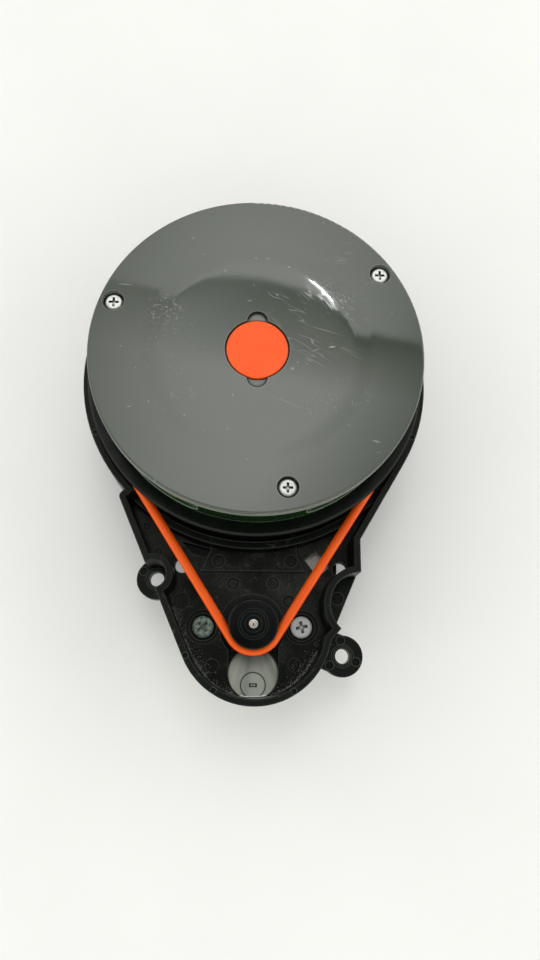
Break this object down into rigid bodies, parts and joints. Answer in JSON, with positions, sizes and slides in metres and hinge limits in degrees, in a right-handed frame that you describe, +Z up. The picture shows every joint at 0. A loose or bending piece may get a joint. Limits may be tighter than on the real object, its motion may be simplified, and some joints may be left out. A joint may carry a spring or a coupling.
{
  "type": "robot vacuum lidar sensor",
  "caption": "Belt-driven spinning lidar module: a round turret with two light apertures on a black tray whose tail holds the motor and pulley.",
  "frame": {"origin": "on the turret's axis, at the flat underside of the bottom cover", "axes": "+Z up along the turret's axis; the tail with motor and pulley points to -Y; +X to the right seen from the tail"},
  "size_m": [0.084, 0.1196, 0.0421],
  "materials": {
    "cover_grey": "gloss",
    "shell_black": "gloss",
    "cap_orange": "satin",
    "belt_orange": "satin",
    "housing_black": "moulded",
    "pulley_black": "satin",
    "inner_black": "moulded",
    "socket_ivory": "moulded",
    "board_green": "satin",
    "zinc_screw": "bright zinc",
    "dull_screw": "oxidised",
    "can_steel": "satin",
    "bright_steel": "ground",
    "brass": "turned",
    "black_barrel": "anodised",
    "lens_glass": "polished",
    "ferrite": "sintered",
    "copper": "enamelled wire"
  },
  "bodies": {
    "base": {"base_housing": "housing_black", "bearing_outer_ring": "bright_steel", "stator_ferrite": "ferrite", "stator_coil": "copper", "light_gate": "inner_black", "drive_belt": "belt_orange", "motor_can": "can_steel", "motor_bush": "brass", "motor_end_plate": "housing_black", "motor_terminals": "brass", "motor_magnets": "ferrite", "motor_screw_left": "dull_screw", "motor_screw_right": "zinc_screw", "bottom_cover": "housing_black", "bottom_cover_screws": "zinc_screw", "base_board": "board_green", "base_board_screws": "zinc_screw", "base_chips": "inner_black", "photodiode": "inner_black", "cable_header": "socket_ivory", "header_pins": "brass", "motor_socket": "socket_ivory"},
    "turret": {"top_cover": "cover_grey", "centre_cap": "cap_orange", "cover_screws": "zinc_screw", "turret_shell": "shell_black", "turret_base": "shell_black", "turret_screws": "zinc_screw", "rotor_board": "board_green", "rotor_board_screws": "zinc_screw", "rotor_chips": "inner_black", "laser_holder": "inner_black", "laser_barrel": "brass", "laser_lens": "lens_glass", "laser_diode": "bright_steel", "receiver_holder": "inner_black", "receiver_barrel": "black_barrel", "receiver_lens": "lens_glass", "sensor_board": "board_green", "sensor_chip": "inner_black", "data_lamp": "inner_black", "rotor_ferrite": "ferrite", "rotor_coil": "copper", "bearing_inner_ring": "bright_steel", "hub_clip": "bright_steel"},
    "ball_set": {"bearing_cage": "brass", "bearing_balls": "bright_steel"},
    "pulley": {"motor_shaft": "bright_steel", "drive_pulley": "pulley_black", "motor_armature": "bright_steel", "motor_commutator": "copper"}
  },
  "joints": [
    {"name": "turret_spin", "type": "hinge", "parent": "base", "child": "turret", "pos_m": [0, 0, 0.0264], "axis": [0, 0, 1], "continuous": true},
    {"name": "pulley_spin", "type": "hinge", "parent": "base", "child": "pulley", "pos_m": [0, -0.06, 0.0264], "axis": [0, 0, 1], "continuous": true},
    {"name": "ball_set_spin", "type": "hinge", "parent": "base", "child": "ball_set", "pos_m": [0, 0, 0.0155], "axis": [0, 0, 1], "continuous": true}
  ],
  "couplings": [
    {"joint": "pulley_spin", "follows": "turret_spin", "ratio": 6.5948},
    {"joint": "ball_set_spin", "follows": "turret_spin", "ratio": 0.44465}
  ]
}
